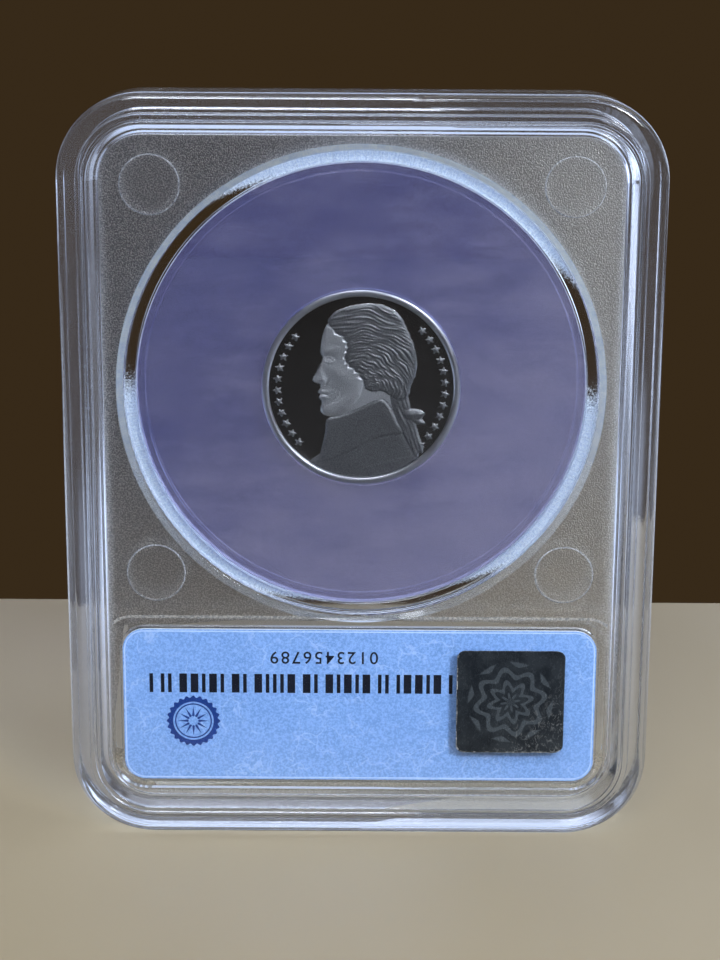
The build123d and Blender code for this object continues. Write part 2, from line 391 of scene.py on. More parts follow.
def printed(name, dark, worn):
    """Printing ink, slightly uneven."""
    material, tree = new_material(name)
    patches = fade(tree, noise(tree, 2.2, 3.0, 0.7), 0.45, 0.8)
    ink = principled(tree, blend(tree, patches, dark, worn), 0.55, Specular_IOR_Level=0.1)
    return shown(material, ink)


def coin_mirror():
    """Proof field, polished like a mirror, with the faintest haze."""
    material, tree = new_material("coin_mirror")
    haze = fade(tree, noise(tree, 0.5, 3.0, 0.6), 0.4, 0.8, 0.03, 0.09)
    shader = principled(tree, (0.42, 0.41, 0.41), haze, Metallic=1.0)
    return shown(material, shader)


def coin_frosted(name, low, high):
    """Frosted relief: a fine sand-blasted grain."""
    material, tree = new_material(name)
    grain = noise(tree, 9.0, 2.0, 0.6)
    tone = blend(tree, fade(tree, grain, 0.3, 0.7), (low, low, low), (high, high, high))
    shader = principled(tree, tone, 0.36, Metallic=1.0)
    bump(tree, grain, 0.03, shader)
    return shown(material, shader)


def coin_rim():
    """The struck rim and plain edge, satin bright."""
    material, tree = new_material("coin_rim")
    marks = noise(tree, 1.5, 3.0, 0.6)
    shader = principled(tree, (0.50, 0.50, 0.53), fade(tree, marks, 0.3, 0.7, 0.28, 0.34), Metallic=1.0)
    bump(tree, marks, 0.001, shader)
    return shown(material, shader)


def sticker_foil():
    """Dark foil seal: petalled rings in a slightly lighter foil, scuffed low and to the right."""
    material, tree = new_material("sticker_foil")
    across, up, radius, angle = around(tree, STICKER["x"], STICKER["z"])
    petals = calculate(tree, "SINE", product(tree, angle, 8.0))
    rippled = calculate(tree, "MULTIPLY_ADD", petals, 0.45, radius)
    rings = calculate(tree, "SINE", product(tree, rippled, 4.2))
    disc = fade(tree, radius, 4.6, 4.8, 1.0, 0.0)
    pattern = product(tree, fade(tree, rings, 0.1, 0.5), disc)
    scuffs = fade(tree, noise(tree, 1.6, 6.0, 0.8, 1.0, (1.6, 1, 1)), 0.52, 0.64)
    low = fade(tree, calculate(tree, "SUBTRACT", across, up), 1.0, 8.0)
    wear = product(tree, scuffs, low)
    clouds = fade(tree, noise(tree, 0.5, 4.0, 0.6), 0.3, 0.7)
    ground = blend(tree, clouds, (0.020, 0.028, 0.040), (0.048, 0.062, 0.080))
    ground = blend(tree, product(tree, pattern, 0.8), ground, (0.115, 0.145, 0.18))
    ground = blend(tree, product(tree, wear, 0.6), ground, (0.34, 0.36, 0.38))
    shader = principled(tree, ground, fade(tree, scuffs, 0.0, 1.0, 0.26, 0.5), Metallic=0.35)
    bump(tree, noise(tree, 1.3, 4.0, 0.6), 0.03, shader)
    return shown(material, shader)


def sticker_paper():
    """Pale backing that shows along the seal's worn edge."""
    material, tree = new_material("sticker_paper")
    patches = fade(tree, noise(tree, 2.0, 3.0, 0.7), 0.45, 0.6)
    tone = blend(tree, patches, (0.16, 0.18, 0.20), (0.6, 0.63, 0.66))
    return shown(material, principled(tree, tone, 0.6))


# -------------------- relief helpers
def curve_through(points, steps=6, closed=True):
    """Close points on a smooth curve through a few points."""
    p = np.array(points, float)
    count = len(p)
    t = np.linspace(0, 1, steps, endpoint=False)[:, None]
    out = []
    for i in range(count if closed else count - 1):
        picks = [(i + k) % count if closed else min(max(i + k, 0), count - 1) for k in (-1, 0, 1, 2)]
        a, b, c, d = (p[k] for k in picks)
        cubic = (2 * a - 5 * b + 4 * c - d) * t**2 + (3 * b - a - 3 * c + d) * t**3
        out.append(b + 0.5 * ((c - a) * t + cubic))
    if not closed:
        out.append(p[-1:])
    return np.concatenate(out)


def distance(line, x, z):
    """Distance from each place to an open line."""
    best = np.full(x.shape, 1e9)
    for (ax, az), (bx, bz) in zip(line[:-1], line[1:]):
        dx, dz = bx - ax, bz - az
        t = np.clip(((x - ax) * dx + (z - az) * dz) / (dx * dx + dz * dz + 1e-12), 0, 1)
        best = np.minimum(best, (x - ax - t * dx) ** 2 + (z - az - t * dz) ** 2)
    return np.sqrt(best)


def depth_in(line, x, z):
    """Distance in from a closed line, negative outside."""
    ring = np.concatenate([line, line[:1]])
    within = np.zeros(x.shape, bool)
    for (ax, az), (bx, bz) in zip(ring[:-1], ring[1:]):
        if az != bz:
            within ^= ((az > z) != (bz > z)) & (x < (bx - ax) * (z - az) / (bz - az) + ax)
    return np.where(within, 1, -1) * distance(ring, x, z)


def smooth(t):
    """0 to 1 with soft ends."""
    t = np.clip(t, 0, 1)
    return t * t * (3 - 2 * t)


def rounded(depth, width):
    """0 to 1 over a width, like a quarter round."""
    return np.sqrt(1 - (1 - np.clip(depth / width, 0, 1)) ** 2)


def mound(x, z, at, size, turn=0.0):
    """A soft mound of height 1, turned by an angle in degrees."""
    c, s = math.cos(math.radians(turn)), math.sin(math.radians(turn))
    u, v = x - at[0], z - at[1]
    return np.exp(-(((u * c + v * s) / size[0]) ** 2) - ((v * c - u * s) / size[1]) ** 2)


def ridge(x, z, points, width):
    """A soft ridge of height 1 along an open curve."""
    return np.exp(-((distance(curve_through(points, closed=False), x, z) / width) ** 2))


def waves(x, z, rng, pitch):
    """Slow waves of about plus and minus 1."""
    total = np.zeros(x.shape)
    for _ in range(5):
        turn, phase = rng.uniform(0, 2 * math.pi, 2)
        total += np.sin((x * math.cos(turn) + z * math.sin(turn)) * rng.uniform(4, 9) / pitch + phase)
    return total / 2.5


def strands(across, along, width):
    """Locks of hair, 0 to 1: across counts over them and along runs down them, in mm."""
    lock = across / width
    number = np.floor(lock)
    phase = np.sin(number * 12.99) * 43.7
    body = np.abs(np.sin(math.pi * lock)) ** 0.6
    swell = 0.58 + 0.42 * np.sin(along * 1.5 + phase)
    fine = 0.5 + 0.5 * np.sin(3 * math.pi * lock + 1.2 * np.sin(along * 1.3 + phase))
    return body * (0.72 * swell + 0.28 * fine)


def layer(below, depth, level, slope=0.15):
    """Lay a level over what is below, inside its outline, with a drafted edge."""
    cover = smooth((depth + 0.4 * slope) / slope)
    return below * (1 - cover) + level * cover


# -------------------- the head: its outlines and its relief
PROFILE = [
    (-3.2, 7.3), (-3.85, 6.5), (-4.2, 5.3), (-4.32, 4.3), (-4.3, 3.85), (-4.12, 3.3), (-4.3, 2.7),
    (-4.66, 1.95), (-5.05, 1.25), (-5.16, 0.9), (-5.02, 0.62), (-4.62, 0.46), (-4.36, 0.34),
    (-4.38, 0.02), (-4.55, -0.32), (-4.58, -0.52), (-4.34, -0.72), (-4.47, -0.9), (-4.47, -1.12),
    (-4.22, -1.42), (-4.2, -1.75), (-4.32, -2.2), (-4.25, -2.65), (-3.9, -3.0), (-3.3, -3.15),
]
JAW = [
    (-2.6, -3.0), (-1.5, -2.45), (-0.7, -1.75), (-0.1, -0.8), (0.3, 0.5), (1.6, 3.0), (0.4, 6.0),
    (-1.8, 7.4),
]
NECK = [
    (-3.2, -2.6), (-2.9, -3.6), (-2.4, -4.6), (3.2, -4.2), (4.6, -1.4), (3.6, 0.8), (0.0, 1.0),
    (-2.0, -1.5),
]
HAIR = [
    (-3.45, 6.85), (-3.3, 7.7), (-2.3, 8.45), (-0.7, 8.95), (1.1, 9.12), (2.7, 8.75), (4.0, 7.85),
    (4.75, 6.5), (5.35, 5.1), (5.75, 3.7), (5.85, 2.4), (5.65, 1.3), (5.25, 0.35), (5.05, -0.6),
    (4.6, -1.25), (3.9, -1.3), (3.1, -0.8), (2.2, -0.3), (1.3, -0.35), (0.5, -0.1), (0.25, 0.7),
    (-0.35, 1.6), (-1.2, 2.3), (-1.75, 3.2), (-1.5, 4.3), (-1.75, 5.2), (-2.5, 5.8),
]
TAIL = [
    (3.1, -0.8), (3.9, -1.1), (4.8, -0.8), (5.15, -1.6), (5.3, -2.6), (5.75, -3.6), (6.15, -5.0),
    (6.55, -6.2), (6.65, -7.05), (6.2, -7.1), (6.0, -8.2), (5.5, -7.8), (5.15, -6.8), (4.6, -5.3),
    (4.0, -4.0), (3.5, -2.7),
]
BOW = [
    (4.5, -2.35), (5.3, -2.3), (6.1, -2.35), (6.75, -2.75), (6.5, -3.3), (6.8, -3.85), (6.1, -3.95),
    (5.5, -3.55), (4.7, -3.3),
]
COAT = [
    (-3.5, -3.5), (-2.2, -3.1), (2.0, -1.5), (3.2, -2.6), (3.9, -4.0), (4.7, -5.2), (5.3, -6.4),
    (5.9, -7.6), (6.3, -9.5), (0, -13), (-7.5, -10), (-5.2, -7.85), (-4.35, -7.2), (-4.05, -6.0),
    (-3.8, -4.8), (-3.65, -4.0),
]
COLLAR = [
    (-3.6, -3.45), (-2.2, -3.0), (-0.6, -2.4), (0.9, -1.7), (2.0, -1.25), (2.65, -1.5), (3.3, -2.4),
    (3.9, -3.7), (4.5, -4.85), (3.1, -5.15), (1.6, -5.55), (0.4, -6.15), (-1.0, -6.95), (-2.5, -7.6),
    (-3.9, -8.1), (-4.25, -7.4), (-4.0, -6.0), (-3.75, -4.8),
]
REVERS = [
    (0.3, -8.7), (1.6, -8.2), (3.2, -7.75), (4.7, -7.5), (5.9, -7.45), (6.6, -9.5), (2, -12),
]


def face(x, z, depth):
    """Height of the face: a rounded side plane with its features."""
    return rounded(depth + 0.12, 0.9) * (
        0.46
        + 0.22 * smooth((x + 5.0) / 4.5)
        + 0.18 * mound(x, z, (-2.3, 1.5), (1.15, 0.8), -25)  # cheekbone
        - 0.14 * mound(x, z, (-2.3, -0.7), (0.9, 1.1), -35)  # hollow of the cheek
        + 0.14 * mound(x, z, (-1.5, -1.6), (1.4, 0.6), 33)  # jaw
        + 0.12 * mound(x, z, (-3.75, -2.35), (0.6, 0.6))  # chin
        - 0.09 * mound(x, z, (-3.95, -1.62), (0.5, 0.26))  # under the lip
        + 0.19 * mound(x, z, (-3.8, 4.0), (0.85, 0.32), 12)  # brow
        - 0.36 * mound(x, z, (-3.5, 3.2), (0.62, 0.46), -8)  # eye socket
        + 0.26 * mound(x, z, (-3.38, 3.0), (0.4, 0.28), -8)  # eyeball
        + 0.16 * mound(x, z, (-4.45, 1.8), (0.3, 1.0), 24)  # bridge of the nose
        + 0.18 * mound(x, z, (-4.6, 0.9), (0.4, 0.32))  # ball of the nose
        + 0.20 * mound(x, z, (-4.08, 0.88), (0.27, 0.28))  # wing of the nose
        - 0.14 * mound(x, z, (-4.42, 0.62), (0.16, 0.08))  # nostril
        - 0.16 * mound(x, z, (-3.72, 0.58), (0.15, 0.5), -25)  # fold beside the nose
        + 0.18 * mound(x, z, (-4.2, -0.4), (0.45, 0.17), -8)  # upper lip
        + 0.18 * mound(x, z, (-4.15, -1.0), (0.38, 0.17), 6)  # lower lip
        + 0.09 * mound(x, z, (-2.8, 5.4), (1.1, 1.1))  # forehead
        + 0.14 * ridge(x, z, [(-3.98, 3.0), (-3.7, 3.3), (-3.33, 3.32), (-2.9, 3.04)], 0.07)  # upper lid
        + 0.09 * ridge(x, z, [(-3.93, 2.9), (-3.6, 2.74), (-3.23, 2.76), (-2.93, 2.97)], 0.06)  # lower lid
        - 0.19 * ridge(x, z, [(-4.5, -0.72), (-4.12, -0.71), (-3.68, -0.8)], 0.06)  # mouth
    )


def side_of_head(x, z):
    """Distance in from the outline of the face and jaw."""
    return depth_in(np.concatenate([curve_through(PROFILE, closed=False), np.array(JAW)]), x, z)


def head(x, z):
    """Height of the head and bust on the coin, 0 on the field and about 1 at most."""
    rng = np.random.default_rng(5)
    slow = waves(x, z, rng, 4.0)
    level = np.zeros(x.shape)

    neck = depth_in(np.array(NECK), x, z)
    level = layer(level, neck, 0.30 * rounded(neck + 0.2, 0.9))
    outline = side_of_head(x, z)
    level = layer(level, outline, face(x, z, outline), 0.2)

    tail = depth_in(curve_through(TAIL), x, z)
    across = (x - 4.1) * 0.93 + (z + 1.0) * 0.37 + 0.08 * slow
    along = (x - 4.1) * 0.37 - (z + 1.0) * 0.93
    level = layer(level, tail, rounded(tail + 0.1, 0.5) * (0.34 + 0.2 * strands(across, along, 0.4)))

    hair = depth_in(curve_through(HAIR), x, z)
    radius, turn = np.hypot(x - 0.2, z + 0.9), np.arctan2(z + 0.9, x - 0.2)
    curls = 0.2 * np.sin(turn * 4.6 + 0.9 * radius) + 0.06 * np.sin(turn * 17 + 2.3 * radius)
    across = radius + 0.2 * slow + curls
    dome = np.sqrt(np.clip(1 - ((x - 1.0) / 7.2) ** 2 - ((z - 3.4) / 7.2) ** 2, 0, 1))
    locks = strands(across, turn * 7.0, 0.33)
    front = smooth((2.6 - x) / 1.5) * smooth((7.6 - z) / 1.0)
    ragged = hair + (0.03 + 0.1 * front) * np.sin(across * 9.5) + 0.05 * front
    level = layer(level, ragged, rounded(hair + 0.2, 0.8) * (0.22 + 0.42 * dome + 0.26 * locks))

    coat = depth_in(np.array(COAT), x, z)
    shoulder = 0.05 * mound(x, z, (1, -8), (3, 1))
    level = layer(level, coat, rounded(coat + 0.1, 0.6) * (0.34 + 0.03 * slow + shoulder))
    revers = depth_in(np.array(REVERS), x, z)
    level = layer(level, revers, 0.43 + 0.03 * slow - 0.12 * (1 - rounded(revers, 0.35)))
    collar = depth_in(curve_through(COLLAR), x, z)
    fold = 0.06 * ridge(x, z, [(-3.5, -4.3), (-2.0, -3.9), (0.2, -3.1), (2.2, -2.6)], 0.5)
    level = layer(level, collar, rounded(collar + 0.08, 0.45) * (0.54 + 0.04 * slow + fold))
    bow = depth_in(curve_through(BOW), x, z)
    pleats = 0.08 * np.sin((z + 3.1) * 7.0) + 0.12 * mound(x, z, (5.3, -2.9), (0.35, 0.45))
    level = layer(level, bow, rounded(bow + 0.08, 0.4) * (0.56 + pleats))
    return level


def bare_skin(x, z):
    """Whether a place on the front is face or neck, and not hair or coat."""
    covers = [depth_in(curve_through(line), x, z) for line in (HAIR, COLLAR, TAIL, BOW)]
    clear_of_covers = np.max(covers, axis=0) < -0.05
    return ((side_of_head(x, z) > 0) | (depth_in(np.array(NECK), x, z) > 0)) & clear_of_covers


def star(x, z, angle, radius, size):
    """Height of a small five-pointed star, 1 at its middle and 0 at its sides."""
    u, v = x - radius * math.cos(angle), z - radius * math.sin(angle)
    sector = math.pi / 5 - np.abs(np.mod(np.arctan2(v, u) - angle, 2 * math.pi / 5) - math.pi / 5)
    from_middle = np.hypot(u, v)
    notch = 0.42 * size
    run, rise = size - notch * math.cos(math.pi / 5), notch * math.sin(math.pi / 5)
    side = (size - from_middle * np.cos(sector)) * rise - from_middle * np.sin(sector) * run
    return np.clip(side / (rise * size), 0, 1)


def leaf(x, z, at, turn, length, width):
    """Height of a laurel leaf with a midrib, 0 outside it."""
    c, s = math.cos(turn), math.sin(turn)
    u = ((x - at[0]) * c + (z - at[1]) * s) / length
    v = ((z - at[1]) * c - (x - at[0]) * s) / width
    body = np.clip(1 - u**2 - (v / (1.02 - 0.35 * u)) ** 2, 0, 1)
    midrib = 0.18 * (body > 0) * np.exp(-((v / 0.16) ** 2))
    return np.sqrt(body) * (0.75 + 0.25 * np.cos(v * 2.4)) - midrib


STAR_ARCS = ((142, 222, 11), (44, -44, 12))
STAR_CIRCLE = 8.95
STAR_SIZE = 0.6
WREATH_CIRCLE = 7.0


def obverse(x, z):
    """Height of the front's relief, 0 to 1: the head between two arcs of stars."""
    stars = np.zeros(x.shape)
    for first, last, count in STAR_ARCS:
        for degrees in np.linspace(first, last, count):
            stars = np.maximum(stars, star(x, z, math.radians(degrees), STAR_CIRCLE, STAR_SIZE))
    level = head(x, z)
    return np.where(level > 0.02, level, 0.5 * stars)


def reverse(x, z):
    """Height of the back's relief: a wreath round a star."""
    level = 0.9 * star(x, z, math.pi / 2, 0.0, 3.4)
    for side in (-1, 1):
        for number in range(13):
            turn = math.radians(-80 + number * 11.5)
            for offset, tilt in ((0.62, 0.5), (-0.62, -0.5)):
                reach = WREATH_CIRCLE + offset
                middle = (side * reach * math.cos(turn), reach * math.sin(turn))
                heading = turn + math.pi / 2 - tilt
                if side < 0:
                    heading = math.pi - heading
                level = np.maximum(level, leaf(x, z, middle, heading, 0.95, 0.42))
    stem = np.exp(-(((np.hypot(x, z) - WREATH_CIRCLE) / 0.12) ** 2)) * smooth((6.4 - z) / 0.5)
    return np.maximum(level, 0.45 * stem * (stem > 0.3))


# -------------------- CAD nodes and their faces
def dress(node, materials, choose):
    """Give a CAD node materials, and each of its faces the one that choose picks."""
    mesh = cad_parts[node].data
    mesh.materials.clear()
    for material in materials:
        mesh.materials.append(material)
    for polygon in mesh.polygons:
        x, y, z = polygon.center / MM
        polygon.material_index = choose(x, abs(y), z, polygon.normal)


POLISHED, STIPPLED, FROSTED, SEAT, RIM, BEVEL = range(6)
NEAR = 0.01


def inset_from_edge(x, z):
    """Distance in from the slab's outline."""
    across = abs(x) - SLAB["half"] + SLAB["corner"]
    up = abs(z - SLAB["middle"]) - SLAB["middle"] + SLAB["corner"]
    return SLAB["corner"] - math.hypot(max(across, 0), max(up, 0)) - min(max(across, up), 0)


def shell_face(x, depth, z, normal):
    """Which plastic a shell's face is: depth is its distance from the weld plane."""
    radius = math.hypot(x, z - WINDOW_Z)
    from_mark = min(math.hypot(abs(x) - EJECTOR["x"], z - mark) for mark in EJECTOR["z"])
    flat = abs(normal.y) > 0.999
    over_label = abs(x) < POCKET["x"] and POCKET["low"] < z < POCKET["high"]
    mark_floor = CAVITY_HEIGHT + EJECTOR["depth"]
    if flat and abs(depth - CAVITY_HEIGHT) < NEAR and radius > SEAT_OUTER and not over_label:
        return STIPPLED
    if flat and abs(depth - mark_floor) < NEAR:
        return STIPPLED
    if abs(from_mark - EJECTOR["radius"]) < 0.1 and CAVITY_HEIGHT < depth < mark_floor:
        return FROSTED
    on_ramp = LABEL_WINDOW_HEIGHT - NEAR < depth < FIELD_HEIGHT + NEAR and 0.8 < abs(normal.y) < 0.99
    if on_ramp and z < LABEL_RAMP_TOP and radius > WINDOW_RADIUS + 0.3:
        return FROSTED
    if depth < CAVITY_HEIGHT - NEAR and SEAT_INNER - 0.1 < radius < SEAT_OUTER + 0.1:
        return SEAT
    from_bevel = abs(radius - WINDOW_RADIUS + WINDOW_BEVEL / 2)
    if not flat and depth > WINDOW_FLOOR - NEAR and from_bevel < 0.45:
        return BEVEL
    return RIM if inset_from_edge(x, z) < PANEL_INSET else POLISHED


def insert_face(x, depth, z, normal):
    """The insert's rounded edge, and the rest."""
    radius = math.hypot(x, z - WINDOW_Z)
    return 1 if radius > INSERT_EDGE and abs(normal.y) < 0.999 else 0


def card_face(x, depth, z, normal):
    """Printed front, and white back and edges."""
    return 0 if normal.y < -0.9 else 1


# -------------------- meshes
def new_piece(name, vertices, faces, materials, indices=None, smooth_faces=True):
    """A mesh piece in millimetres that rides on the slab."""
    mesh = bpy.data.meshes.new(name)
    mesh.from_pydata([tuple(Vector(v) * MM) for v in vertices], [], faces)
    for material in materials:
        mesh.materials.append(material)
    if indices is not None:
        mesh.polygons.foreach_set("material_index", indices)
    mesh.polygons.foreach_set("use_smooth", [smooth_faces] * len(mesh.polygons))
    piece = bpy.data.objects.new(name, mesh)
    bpy.context.collection.objects.link(piece)
    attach(piece, "root")
    return piece


def disc_grid(count, radius):
    """A square grid pressed into a disc, so that its border lies on the circle."""
    a, b = np.meshgrid(np.linspace(-1, 1, count), np.linspace(-1, 1, count))
    wide = np.abs(a) > np.abs(b)
    reach = np.where(wide, a, b)
    with np.errstate(divide="ignore", invalid="ignore"):
        turn = np.where(wide, b / a, a / b) * math.pi / 4
    turn = np.nan_to_num(turn)
    angle = np.where(wide, turn, math.pi / 2 - turn)
    return radius * reach * np.cos(angle), radius * reach * np.sin(angle)


FIELD, FROST, STRUCK_RIM, FACE_PAINTED_LIGHTER = range(4)
FRONT_GRID, BACK_GRID = 251, 141
FRONT_RELIEF, BACK_RELIEF = 0.27, 0.25


def coin_face(count, relief, side, height_mm, first):
    """One struck face: its vertices, faces and material numbers. side is -1 in front, 1 behind."""
    x, z = disc_grid(count, COIN_FACE_RADIUS)
    level = relief(-side * x, z) * smooth((COIN_FACE_RADIUS - np.hypot(x, z)) / 0.15)
    y = side * (COIN_FIELD + height_mm * level)
    vertices = np.stack([x, y, z + WINDOW_Z], axis=-1).reshape(-1, 3)
    corner = (np.arange(count - 1)[:, None] * count + np.arange(count - 1)).ravel() + first
    order = (0, 1, count + 1, count) if side < 0 else (0, count, count + 1, 1)
    faces = np.stack([corner + step for step in order], axis=-1)
    middle = (level[:-1, :-1] + level[1:, :-1] + level[:-1, 1:] + level[1:, 1:]) / 4
    kinds = np.where(middle.ravel() > 0.03, FROST, FIELD)
    if side < 0:
        # Painted light: the bare face and neck get a lighter copy of the frosted metal, for the light that
        # falls on them.
        kinds[bare_skin(x[:-1, :-1], z[:-1, :-1]).ravel() & (kinds == FROST)] = FACE_PAINTED_LIGHTER
    return vertices, faces, kinds


def make_coin():
    """The coin: mirror fields, frosted relief, and a turned rim with a plain edge."""
    front, front_faces, front_kinds = coin_face(FRONT_GRID, obverse, -1, FRONT_RELIEF, 0)
    back, back_faces, back_kinds = coin_face(BACK_GRID, reverse, 1, BACK_RELIEF, len(front))
    inner, foot = COIN_FACE_RADIUS + 0.03, COIN_FIELD + 0.12
    half_profile = [(COIN_FACE_RADIUS, COIN_FIELD), (inner, foot)]
    for turn in np.linspace(0.1, math.pi - 0.35, 9):
        across = inner + (COIN_RADIUS - inner) * (1 - math.cos(turn)) / 1.94
        half_profile.append((across, foot + (COIN_HALF - foot) * math.sin(turn)))
    half_profile.append((COIN_RADIUS, foot))
    profile = [(r, -y) for r, y in half_profile] + [(r, y) for r, y in reversed(half_profile)]
    turns = 500
    first = len(front) + len(back)
    ring = [
        (r * math.cos(a), y, r * math.sin(a) + WINDOW_Z)
        for a in np.linspace(0, 2 * math.pi, turns, endpoint=False)
        for r, y in profile
    ]
    steps = len(profile)
    ring_faces = [
        (
            first + i * steps + j,
            first + (i + 1) % turns * steps + j,
            first + (i + 1) % turns * steps + j + 1,
            first + i * steps + j + 1,
        )
        for i in range(turns)
        for j in range(steps - 1)
    ]
    vertices = np.concatenate([front, back, np.array(ring)])
    faces = front_faces.tolist() + back_faces.tolist() + ring_faces
    kinds = np.concatenate([front_kinds, back_kinds, np.full(len(ring_faces), STRUCK_RIM)])
    metals = [
        coin_mirror(),
        coin_frosted("coin_frost", 0.14, 0.23),
        coin_rim(),
        # Painted light: a lighter copy of the frosted metal for the face and neck.
        coin_frosted("coin_face_painted_lighter", 0.42, 0.54),
    ]
    coin = new_piece("proof_coin", vertices, faces, metals, kinds)
    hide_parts("coin")


def rounded_square(size, radius, steps):
    """Points round a square with rounded corners, about its middle."""
    half = size / 2 - radius
    turns = np.linspace(0, math.pi / 2, 9)
    side = [(half + radius * math.cos(a), half + radius * math.sin(a)) for a in turns]
    side += [(half - 2 * half * t, size / 2) for t in np.linspace(0, 1, steps)[1:-1]]
    quarters = ((1, 0), (0, 1), (-1, 0), (0, -1))
    return [(x * c - z * s, x * s + z * c) for c, s in quarters for x, z in side]


def make_sticker():
    """The seal: a thin foil square with a slightly nibbled edge and a rounded lip."""
    rng = np.random.default_rng(11)
    outline = np.array(rounded_square(STICKER["size"], STICKER["radius"], 40))
    count = len(outline)
    nibbles = np.convolve(rng.uniform(0, 1, count + 4), [0.1, 0.2, 0.4, 0.2, 0.1], "valid")[:count]
    outline *= (1 - 0.014 * np.clip(nibbles - 0.45, 0, 1))[:, None]
    lip = [
        (1.0, 0.0), (1.0, 0.7), (0.993, 0.95), (0.98, 1.0), (0.94, 0.98), (0.85, 0.97), (0.7, 0.98),
        (0.5, 0.97), (0.25, 0.98),
    ]
    worn_from = 0.25 - STICKER["size"] / 2
    base, thickness = STICKER["base"], STICKER["thickness"]
    vertices = []
    for reach, lift in lip:
        y = base - thickness * lift
        vertices += [(STICKER["x"] + x * reach, y, STICKER["z"] + z * reach) for x, z in outline]
    faces, kinds = [], []
    for ring in range(len(lip) - 1):
        for i in range(count):
            a, b = ring * count + i, ring * count + (i + 1) % count
            faces.append((a, b, b + count, a + count))
            x, z = outline[i]
            worn = min(x, z) < worn_from and (ring == 1 or ring == 2 and nibbles[i] > 0.4)
            kinds.append(1 if ring == 0 or worn else 0)
    last = (len(lip) - 1) * count
    faces.append(tuple(range(last, last + count)))
    kinds.append(0)
    faces.append(tuple(range(count - 1, -1, -1)))
    kinds.append(1)
    materials = [sticker_foil(), sticker_paper()]
    seal = new_piece("foil_seal", vertices, faces, materials, kinds)
    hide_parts("hologram_sticker")


def printed_shapes(name, shapes, material, face_y, thickness=0.012):
    """Flat printed shapes on the card. Each is an outline, or an outline and an equal inner one."""
    top = face_y + (thickness if face_y == LABEL_BACK else -thickness)
    vertices, faces = [], []
    for shape in shapes:
        hollow = isinstance(shape, tuple)
        outer, inner = shape if hollow else (shape, None)
        loops = [(outer, face_y), (outer, top)]
        bands = [(0, 1)]
        if hollow:
            loops += [(inner, top), (inner, face_y)]
            bands += [(1, 2), (2, 3), (3, 0)]
        count, first = len(outer), len(vertices)
        for loop, y in loops:
            vertices += [(x, y, z) for x, z in loop]
        for i in range(count):
            j = (i + 1) % count
            for a, b in bands:
                low, high = first + a * count, first + b * count
                faces.append((low + i, low + j, high + j, high + i))
        if not hollow:
            faces.append(tuple(range(first + count, first + 2 * count)))
            faces.append(tuple(range(first + count - 1, first - 1, -1)))
    piece = new_piece(name, vertices, faces, [material], smooth_faces=False)
    tidy_normals(piece.data)


def tidy_normals(mesh):
    """Turn every face outwards."""
    work = bmesh.new()
    work.from_mesh(mesh)
    bmesh.ops.recalc_face_normals(work, faces=work.faces)
    work.to_mesh(mesh)
    work.free()


def oblong(left, right, low, high):
    """The four corners of an oblong."""
    return [(left, low), (right, low), (right, high), (left, high)]


def ring_of(radius, count, middle, wobble=0.0, teeth=0):
    """Points on a circle, with its radius rippled by a number of teeth."""
    turns = np.linspace(0, 2 * math.pi, count, endpoint=False)
    reach = radius + wobble * np.cos(teeth * turns)
    return [(middle[0] + r * math.cos(a), middle[1] + r * math.sin(a)) for r, a in zip(reach, turns)]


BARS = {"left": -23.2, "right": 10.2, "low": 15.95, "high": 18.15, "narrow": 0.4, "wide": 0.85}
ROSETTE_MIDDLE = (-18.4, 12.6)
DIGITS = {"x": -3.9, "z": 20.15, "size": 2.0, "half_thickness": 0.006}


def print_bars(ink):
    """Plain bars in an arbitrary rhythm."""
    narrow, wide = BARS["narrow"], BARS["wide"]
    bars, x, number = [], BARS["left"], 0
    while x < BARS["right"]:
        width = wide if number * 7 % 11 in (1, 4, 6, 9, 10) else narrow
        bars.append(oblong(x, x + width, BARS["low"], BARS["high"]))
        x += width + (wide if number * 5 % 7 in (0, 3) else narrow)
        number += 1
    printed_shapes("label_bars", bars, ink, LABEL_FRONT)


def print_rosette(ink):
    """A round rosette: a toothed ring, a thin ring and twelve rays."""
    middle = ROSETTE_MIDDLE
    rays = []
    for turn in np.linspace(0, 2 * math.pi, 12, endpoint=False):
        reach = [(0.62, turn - 0.24), (1.75, turn), (0.62, turn + 0.24), (0.5, turn)]
        rays.append([(middle[0] + r * math.cos(a), middle[1] + r * math.sin(a)) for r, a in reach])
    toothed = ring_of(2.85, 144, middle, 0.14, 24)
    plain = [ring_of(radius, 144, middle) for radius in (2.25, 2.05, 1.9)]
    rings = [(toothed, plain[0]), (plain[1], plain[2])]
    printed_shapes("label_seal", rings + rays, ink, LABEL_FRONT)


def print_digits(ink):
    """Counting digits, upside down."""
    text = bpy.data.curves.new("digits", "FONT")
    text.body = "0123456789"
    text.size = DIGITS["size"]
    text.space_character = 1.22
    text.offset = 0.012
    text.align_x = "CENTER"
    text.align_y = "CENTER"
    text.extrude = DIGITS["half_thickness"]
    writing = bpy.data.objects.new("digits", text)
    bpy.context.collection.objects.link(writing)
    mesh = bpy.data.meshes.new_from_object(writing)
    bpy.data.objects.remove(writing)
    middle_y = LABEL_FRONT - DIGITS["half_thickness"]
    vertices = [(DIGITS["x"] - v.co.x, middle_y - v.co.z, DIGITS["z"] - v.co.y) for v in mesh.vertices]
    faces = [tuple(face.vertices) for face in mesh.polygons]
    digits = new_piece("label_digits", vertices, faces, [ink], smooth_faces=False)
    tidy_normals(digits.data)


